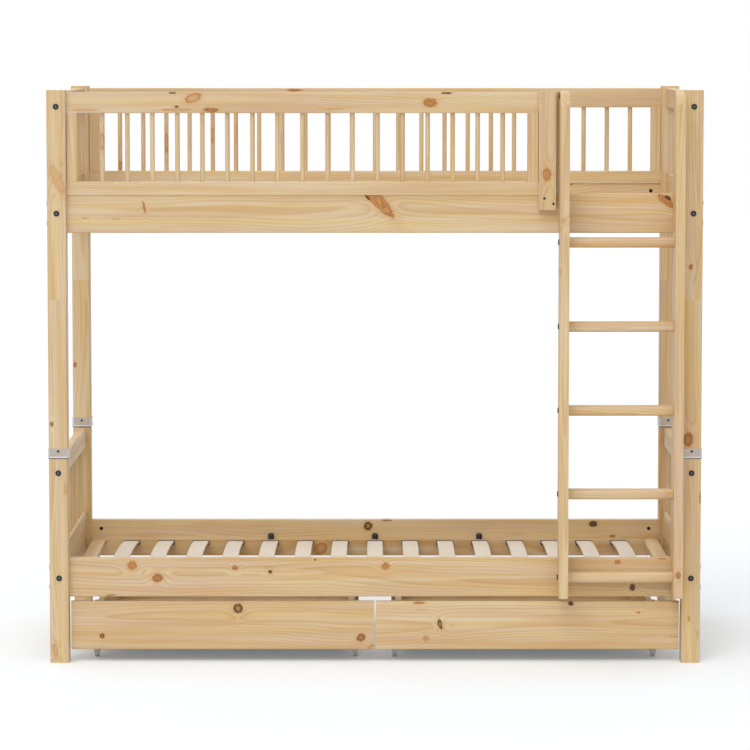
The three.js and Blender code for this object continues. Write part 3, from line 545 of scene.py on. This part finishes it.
DARK_STEEL = streaked("dark_steel", colour(52, 53, 57), colour(32, 33, 36), (900, 900, 900), 0.42,
                      Metallic=0.55)
SOCKET_STEEL = streaked("socket_steel", colour(110, 112, 116), colour(86, 88, 92), (900, 900, 900),
                        0.5, Metallic=0.5)
NUT_STEEL = streaked("nut_steel", colour(30, 29, 28), colour(16, 15, 15), (700, 700, 700), 0.6,
                     Metallic=0.3)
ZINC = zinc()
BIRCH = streaked("birch_slat", colour(229, 219, 204), colour(212, 195, 171), (420, 9, 420), 0.48,
                 bump=0.15)
CAP = streaked("cap_plastic", colour(92, 92, 94), colour(74, 74, 77), (800, 800, 800), 0.5)
PEG = streaked("peg_plastic", colour(34, 34, 36), colour(22, 22, 24), (600, 600, 600), 0.34)
WHEEL = streaked("castor_wheel", colour(232, 237, 238), colour(214, 220, 222), (500, 500, 500), 0.4)
PLYWOOD = streaked("plywood", colour(228, 208, 172), colour(206, 178, 134), (9, 300, 300), 0.55)


# Shading of the frame's own nodes

SMOOTH_ANGLE = math.radians(52)
WELD_DISTANCE = 0.00001


def soften(obj, weld=True):
    """Rounds the look of eased edges: smooth faces, hard only where two faces meet steeply."""
    for polygon in obj.data.polygons:
        polygon.use_smooth = True
    if "custom_normal" in obj.data.attributes:
        obj.data.attributes.remove(obj.data.attributes["custom_normal"])
    if weld:
        obj.modifiers.new("weld", "WELD").merge_threshold = WELD_DISTANCE
    split = obj.modifiers.new("hard edges", "EDGE_SPLIT")
    split.split_angle = SMOOTH_ANGLE
    split.use_edge_sharp = False
    obj.modifiers.new("flat faces first", "WEIGHTED_NORMAL").keep_sharp = True


def dress(obj, material):
    obj.data.materials.clear()
    obj.data.materials.append(material)
    soften(obj)


def dress_frame():
    for name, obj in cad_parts.items():
        low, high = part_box(name)
        centre = (low + high) / 2
        foot = UPPER if "upper" in name else 0.0
        if name.startswith(("post_coupling", "slatted_base")):
            dress(obj, ZINC)          # replaced below by finer pieces
        elif name.startswith(("post", "leg_extension", "ladder_stile", "entrance_newel")):
            dress(obj, pine(name, centre, "z"))
        elif name.startswith("end_panel"):
            uprights = (foot + END_BOARD_TOP, foot + TOP_RAIL_BOTTOM, "z_end", 1)
            dress(obj, pine(name, centre, "y", uprights=uprights))
        elif name.endswith("_guard"):
            uprights = (GUARD_BASE_TOP, UPPER + TOP_RAIL_BOTTOM, "z", 0)
            dress(obj, pine(name, centre, "x", uprights=uprights))
        elif "_wheel_" in name:
            dress(obj, WHEEL)
        elif name.endswith("_floor"):
            dress(obj, PLYWOOD)
        elif "_side_" in name and name.startswith("drawer"):
            drawer = -1 if "left" in name else 1
            outward = drawer if name.endswith("outer") else -drawer
            face = (high.x if outward > 0 else low.x) - outward * CASTOR_REACH
            dress(obj, pine(name, centre, "y", castors=(face, outward, BOX_BOTTOM)))
        elif name.startswith("end_slat"):
            dress(obj, pine(name, centre, "y"))
        else:
            dress(obj, pine(name, centre, "x"))


# New pieces, built as meshes

def piece(name, mesh, material, body="frame", replaces=()):
    """Makes an object of the mesh, which rides on the body and may replace nodes of the frame."""
    data = bpy.data.meshes.new(name)
    mesh.to_mesh(data)
    mesh.free()
    obj = bpy.data.objects.new(name, data)
    bpy.context.scene.collection.objects.link(obj)
    data.materials.append(material)
    soften(obj, weld=False)
    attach(obj, body)
    if replaces:
        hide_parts(*replaces)


def add_turned(mesh, profile, place, direction, steps=24):
    """A turned form: profile points are (radius, distance along the direction)."""
    turn = Vector((0, 0, 1)).rotation_difference(Vector(direction)).to_matrix().to_4x4()
    matrix = Matrix.Translation(place) @ turn
    rings = []
    for radius, along in profile:
        if radius == 0:
            rings.append([mesh.verts.new(matrix @ Vector((0, 0, along)))] * steps)
            continue
        angles = [2 * math.pi * i / steps for i in range(steps)]
        circle = [Vector((radius * math.cos(a), radius * math.sin(a), along)) for a in angles]
        rings.append([mesh.verts.new(matrix @ point) for point in circle])
    for lower, upper in zip(rings, rings[1:]):
        for i in range(steps):
            corners = []
            for vert in (lower[i], lower[(i + 1) % steps], upper[(i + 1) % steps], upper[i]):
                if vert not in corners:
                    corners.append(vert)
            mesh.faces.new(corners)


def add_box(mesh, low, high, easing):
    """A block with eased edges."""
    part = bmesh.new()
    bmesh.ops.create_cube(part, size=1.0)
    size = Vector(high) - Vector(low)
    centre = (Vector(high) + Vector(low)) / 2
    bmesh.ops.scale(part, vec=size, verts=part.verts)
    bmesh.ops.translate(part, vec=centre, verts=part.verts)
    add_eased(mesh, part, easing)


def add_drawn(mesh, outline, near, far, easing):
    """An outline of (x, z) points drawn out along Y, with eased edges."""
    part = bmesh.new()
    fronts = [part.verts.new((x, near, z)) for x, z in outline]
    backs = [part.verts.new((x, far, z)) for x, z in outline]
    part.faces.new(fronts)
    part.faces.new(backs[::-1])
    for i in range(len(outline)):
        part.faces.new((fronts[i - 1], fronts[i], backs[i], backs[i - 1]))
    bmesh.ops.recalc_face_normals(part, faces=part.faces)
    add_eased(mesh, part, easing)


def add_eased(mesh, part, easing):
    """Eases the part's edges and adds it to the mesh."""
    bmesh.ops.bevel(part, geom=part.edges[:], offset=easing, segments=2, profile=0.5,
                    affect="EDGES")
    copy = bpy.data.meshes.new("part")
    part.to_mesh(copy)
    part.free()
    mesh.from_mesh(copy)
    bpy.data.meshes.remove(copy)


def from_front(y, side):
    """Y at that distance inwards from the posts' front faces, or from their rear ones."""
    return FRONT + y if side < 0 else REAR - y


# Bolts: a low round head with a hexagon socket

# Profiles are (radius, height over the seat)
HEAD_PROFILE = [(0, -0.0004), (0.0091, -0.0004), (0.0091, 0.0024), (0.0085, 0.0031),
                (0.0073, 0.0034), (0.0045, 0.0034), (0.0040, 0.0031), (0, 0.0031)]
SOCKET_PROFILE = [(0, 0.00305), (0.0036, 0.00305), (0.0036, 0.0032), (0, 0.0032)]
SOCKET_CORNERS = 6
NUT_PROFILE = [(0, 0.0002), (0.0060, 0.0002), (0.0068, -0.0002), (0.0068, -0.003), (0, -0.003)]
SCREW_PROFILE = [(0.0040, -0.0004), (0.0040, 0.0006), (0.0032, 0.0009), (0.0012, 0.0005),
                 (0, 0.0008)]
SCREW_SINK = 0.0004
SCREW_STEPS = 16


def add_bolt_head(heads, sockets, seat, outward):
    add_turned(heads, HEAD_PROFILE, seat, outward)
    add_turned(sockets, SOCKET_PROFILE, seat, outward, SOCKET_CORNERS)


def frame_bolts():
    heads, sockets, nuts = bmesh.new(), bmesh.new(), bmesh.new()
    rail_middle = RAIL_SETBACK + RAIL_THICKNESS / 2
    rail_z = (RAIL_BOTTOM + RAIL_TOP) / 2
    for foot, side, end in itertools.product(MODULES, SIDES, SIDES):
        nut_x = end * (HALF_LENGTH - POST - NUT_FROM_END)
        for step in SIDES:
            z = foot + rail_z + step * RAIL_BOLT_SPREAD
            seat = (end * HALF_LENGTH, from_front(rail_middle, side), z)
            add_bolt_head(heads, sockets, seat, (end, 0, 0))
            mouth = (nut_x, from_front(RAIL_SETBACK + RAIL_THICKNESS, side), z)
            add_turned(nuts, NUT_PROFILE, mouth, (0, -side, 0))
        x = end * (HALF_LENGTH - POST / 2)
        for z in (rail_z, TOP_RAIL_BOTTOM + TOP_BOLT_RISE):
            add_bolt_head(heads, sockets, (x, from_front(0, side), foot + z), (0, side, 0))
        inner = end * (HALF_LENGTH - POST / 2 - RAIL_THICKNESS / 2)
        y = from_front(POST + NUT_FROM_END, side)
        add_turned(nuts, NUT_PROFILE, (inner, y, foot + rail_z), (-end, 0, 0))
        add_turned(nuts, NUT_PROFILE, (x, y, foot + TOP_RAIL_BOTTOM), (0, 0, -1))
    piece("frame_bolt_heads", heads, DARK_STEEL)
    piece("frame_bolt_sockets", sockets, SOCKET_STEEL)
    piece("barrel_nuts", nuts, NUT_STEEL)


def ladder_bolts():
    heads, sockets = bmesh.new(), bmesh.new()
    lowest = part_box("ladder_rung_1")
    seats = {-1: lowest[0].x + CAD_HEAD_HEIGHT, 1: lowest[1].x - CAD_HEAD_HEIGHT}
    for i in range(RUNG_COUNT):
        low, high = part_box(f"ladder_rung_{i + 1}")
        for end in SIDES:
            seat = (seats[end], (low.y + high.y) / 2, (low.z + high.z) / 2)
            add_bolt_head(heads, sockets, seat, (end, 0, 0))
    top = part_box("ladder_stile_right")[1].z - LADDER_TOP_BOLT_DROP
    add_bolt_head(heads, sockets, (seats[-1], (lowest[0].y + lowest[1].y) / 2, top), (-1, 0, 0))
    piece("ladder_bolt_heads", heads, DARK_STEEL)
    piece("ladder_bolt_sockets", sockets, SOCKET_STEEL)


def screw_heads():
    """Countersunk screw heads in the sleeves and in the board beside the entrance."""
    heads = bmesh.new()

    def add_screw(x, face, z):
        add_turned(heads, SCREW_PROFILE, (x, face + SCREW_SINK, z), (0, -1, 0), SCREW_STEPS)

    for name in COUPLINGS:
        low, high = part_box(name)
        add_screw((low.x + high.x) / 2, low.y, COUPLING_SCREW_HEIGHT)
    low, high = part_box("entrance_newel")
    for across, rise in NEWEL_SCREWS:
        add_screw(low.x + across * (high.x - low.x), low.y, low.z + rise)
    piece("screw_heads", heads, DARK_STEEL)


# Steel sleeves round the posts, with a rolled lower edge

# The closed profile is (outward, height above the foot)
SLEEVE_PROFILE = [(-COUPLING_WALL, 0.0), (-0.0012, 0.0), (-0.0012, 0.0026), (0.0010, 0.0030),
                  (0.0014, 0.0040), (0.0012, 0.0056), (0.0, 0.0070),
                  (0.0, COUPLING_HEIGHT - 0.0010), (-0.0008, COUPLING_HEIGHT),
                  (-COUPLING_WALL, COUPLING_HEIGHT)]
CORNER_STEPS = 5


def add_sleeve(mesh, centre_x, centre_y):
    """A square ring with rounded corners."""
    loops = []
    for outward, up in SLEEVE_PROFILE:
        radius = COUPLING_EDGE + outward
        straight = COUPLING_OUTER / 2 - COUPLING_EDGE
        loop = []
        for quarter, (right, back) in enumerate(((1, 1), (-1, 1), (-1, -1), (1, -1))):
            for i in range(CORNER_STEPS + 1):
                angle = (quarter + i / CORNER_STEPS) * math.pi / 2
                x = centre_x + right * straight + radius * math.cos(angle)
                y = centre_y + back * straight + radius * math.sin(angle)
                loop.append(mesh.verts.new((x, y, COUPLING_BOTTOM + up)))
        loops.append(loop)
    for near, far in zip(loops, loops[1:] + loops[:1]):
        for i in range(len(near)):
            following = (i + 1) % len(near)
            mesh.faces.new((near[i], near[following], far[following], far[i]))


def couplings():
    for name in COUPLINGS:
        low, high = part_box(name)
        sleeve = bmesh.new()
        add_sleeve(sleeve, (low.x + high.x) / 2, high.y - COUPLING_OUTER / 2)
        piece(name.replace("post_coupling", "sleeve"), sleeve, ZINC, replaces=[name])


# Slatted bases

INNER_FACE = RAIL_SETBACK + RAIL_THICKNESS       # of a side rail
BEAM_FACE = INNER_FACE + BEAM_THICKNESS
SLAT_START = BEAM_FACE + CAP_DEPTH - SLAT_SOCKET
SLAT_EDGE = 0.0022
SLAT_STEPS = 16
BEAM_EASING = 0.0015
CAP_EASING = 0.0016
CAP_SINK = 0.0005                 # into the beam
PEG_PROFILE = [(0, -0.0010), (0.0105, -0.0010), (0.0105, 0.0032), (0.0096, 0.0040),
               (0.0104, 0.0048), (0.0104, 0.0086), (0.0095, 0.0094), (0.0103, 0.0102),
               (0.0102, 0.0140), (0.0094, 0.0168), (0.0075, 0.0192), (0.0045, 0.0206),
               (0, 0.0210)]


def bow(y):
    """Height of a slat's lower face above its ends."""
    return SLAT_RISE * (1 - ((y - MIDDLE) / (MIDDLE - from_front(SLAT_START, -1))) ** 2)


def add_slat(mesh, x, foot):
    """A bowed slat: its section, with the corners cut, drawn along the bow."""
    start, end = from_front(SLAT_START, -1), from_front(SLAT_START, 1)
    base = foot + BEAM_TOP - CAP_DROP - CAP_WALL - SLAT_THICKNESS
    half, edge = SLAT_WIDTH / 2, SLAT_EDGE
    section = [(half - edge, 0), (half, edge), (half, SLAT_THICKNESS - edge),
               (half - edge, SLAT_THICKNESS)]
    section += [(-a, b) for a, b in reversed(section)]
    rings = []
    for i in range(SLAT_STEPS + 1):
        y = start + (end - start) * i / SLAT_STEPS
        rings.append([mesh.verts.new((x + a, y, base + bow(y) + b)) for a, b in section])
    count = len(section)
    for near, far in zip(rings, rings[1:]):
        for i in range(count):
            mesh.faces.new((near[i], near[(i + 1) % count], far[(i + 1) % count], far[i]))
    mesh.faces.new(list(reversed(rings[0])))
    mesh.faces.new(rings[-1])


def slatted_base(foot, level):
    node = f"slatted_base_{level}"
    beams, caps, slats, pegs = bmesh.new(), bmesh.new(), bmesh.new(), bmesh.new()
    top = foot + BEAM_TOP
    cap_top = top - CAP_DROP
    slat_xs = [(i - (SLAT_COUNT - 1) / 2) * SLAT_PITCH for i in range(SLAT_COUNT)]
    post_inner = HALF_LENGTH - POST
    end_slat = post_inner - END_SLAT_INSET - END_SLAT_WIDTH
    shelf = BEAM_TOP - END_SLAT_THICKNESS
    outline = [(-post_inner, BEAM_BOTTOM), (post_inner, BEAM_BOTTOM), (post_inner, shelf),
               (end_slat, shelf), (end_slat, BEAM_TOP), (-end_slat, BEAM_TOP), (-end_slat, shelf),
               (-post_inner, shelf)]
    for side in SIDES:
        near, far = sorted((from_front(INNER_FACE, side), from_front(BEAM_FACE, side)))
        add_drawn(beams, [(x, foot + z) for x, z in outline], near, far, BEAM_EASING)
        peg_y = from_front(INNER_FACE + BEAM_THICKNESS / 2, side)
        for n in PEGGED_SLATS:
            add_turned(pegs, PEG_PROFILE, (n * SLAT_PITCH, peg_y, top), (0, 0, 1))
        near, far = sorted((from_front(BEAM_FACE - CAP_SINK, side),
                            from_front(BEAM_FACE + CAP_DEPTH, side)))
        for x in slat_xs:
            add_box(caps, (x - CAP_WIDTH / 2, near, cap_top - CAP_HEIGHT),
                    (x + CAP_WIDTH / 2, far, cap_top), CAP_EASING)
    for x in slat_xs:
        add_slat(slats, x, foot)
    wood = pine(f"base_beams_{level}", (0.0, MIDDLE, top), "x")
    piece(f"base_beams_{level}", beams, wood, replaces=[node])
    piece(f"slats_{level}", slats, BIRCH, replaces=[node])
    piece(f"slat_caps_{level}", caps, CAP, replaces=[node])
    piece(f"mattress_pegs_{level}", pegs, PEG, replaces=[node])


# Camera, light and floor

CAMERA_FOCAL = 3704.0             # pixels of a 750-pixel picture
CAMERA_AXIS_RISE = 26.2           # pixels that the optical axis lies above the picture's centre
CAMERA_HEIGHT = 2.0093
CAMERA_DISTANCE = 11.7614         # in front of the posts
CAMERA_PITCH = 0.0846             # radians downwards
PICTURE = 750
SENSOR = 36.0
CAMERA_REACH = 200
AMBIENT = 0.34
# Each sun: where it stands, its spread in degrees and its strength
SUNS = {
    "key": ((-0.28, -0.66, 0.80), 42, 1.15),
    "fill": ((0.12, -0.80, 0.55), 60, 0.56),
    "top": ((-0.10, 0.30, 1.00), 80, 1.10),
}
FLOOR_REACH = 30
FLOOR_WHITE = (0.84, 0.85, 0.86, 1.0)
GLOW = 0.155
GLOW_TINT = (0.86, 1.00, 1.12, 1.0)


def camera():
    data = bpy.data.cameras.new("camera")
    data.sensor_width = SENSOR
    data.lens = SENSOR * CAMERA_FOCAL / PICTURE
    data.shift_y = -CAMERA_AXIS_RISE / PICTURE
    data.clip_end = CAMERA_REACH
    obj = bpy.data.objects.new("camera", data)
    obj.location = (0, FRONT - CAMERA_DISTANCE, CAMERA_HEIGHT)
    obj.rotation_euler = Euler((math.pi / 2 - CAMERA_PITCH, 0, 0))
    bpy.context.scene.collection.objects.link(obj)
    bpy.context.scene.camera = obj


def sun(name, from_direction, spread, strength):
    """A lamp so large and far that it lights the whole floor alike, with soft shadows."""
    data = bpy.data.lights.new(name, "SUN")
    data.angle = math.radians(spread)
    data.energy = strength
    obj = bpy.data.objects.new(name, data)
    obj.rotation_euler = (-Vector(from_direction)).to_track_quat("-Z", "Y").to_euler()
    bpy.context.scene.collection.objects.link(obj)


def seen_as_background(g):
    """1 for rays that show the background: from the camera, in gloss and through glass."""
    rays = g.tree.nodes.new("ShaderNodeLightPath").outputs
    direct = g.math("MAXIMUM", rays["Is Camera Ray"], rays["Is Glossy Ray"])
    return g.math("MAXIMUM", direct, rays["Is Transmission Ray"])


def studio():
    mesh = bmesh.new()
    bmesh.ops.create_grid(mesh, x_segments=1, y_segments=1, size=FLOOR_REACH)
    data = bpy.data.meshes.new("floor")
    mesh.to_mesh(data)
    mesh.free()
    floor = bpy.data.objects.new("floor", data)
    bpy.context.scene.collection.objects.link(floor)
    material, g = new_material("floor")
    diffuse = g.add("ShaderNodeBsdfDiffuse", {"Color": FLOOR_WHITE})
    glowing = g.math("MULTIPLY", seen_as_background(g), GLOW)
    glow = g.add("ShaderNodeEmission", {"Color": GLOW_TINT, "Strength": glowing})
    both = g.add("ShaderNodeAddShader", {0: diffuse, 1: glow})
    g.feed(g.tree.nodes.new("ShaderNodeOutputMaterial"), {"Surface": both})
    data.materials.append(material)

    world = bpy.data.worlds.new("studio")
    bpy.context.scene.world = world
    world.use_nodes = True
    world.node_tree.nodes.clear()
    g = Graph(world.node_tree)
    strength = g.add("ShaderNodeMix", {0: seen_as_background(g), 2: AMBIENT, 3: 1.0}, 0,
                     data_type="FLOAT")
    background = g.add("ShaderNodeBackground", {"Color": (1, 1, 1, 1), "Strength": strength})
    g.feed(g.tree.nodes.new("ShaderNodeOutputWorld"), {"Surface": background})

    for name, (from_direction, spread, strength) in SUNS.items():
        sun(name, from_direction, spread, strength)


dress_frame()
frame_bolts()
ladder_bolts()
screw_heads()
couplings()
for module_foot, module_level in zip(MODULES, ("lower", "upper")):
    slatted_base(module_foot, module_level)
camera()
studio()
bpy.context.scene.view_settings.view_transform = "Standard"
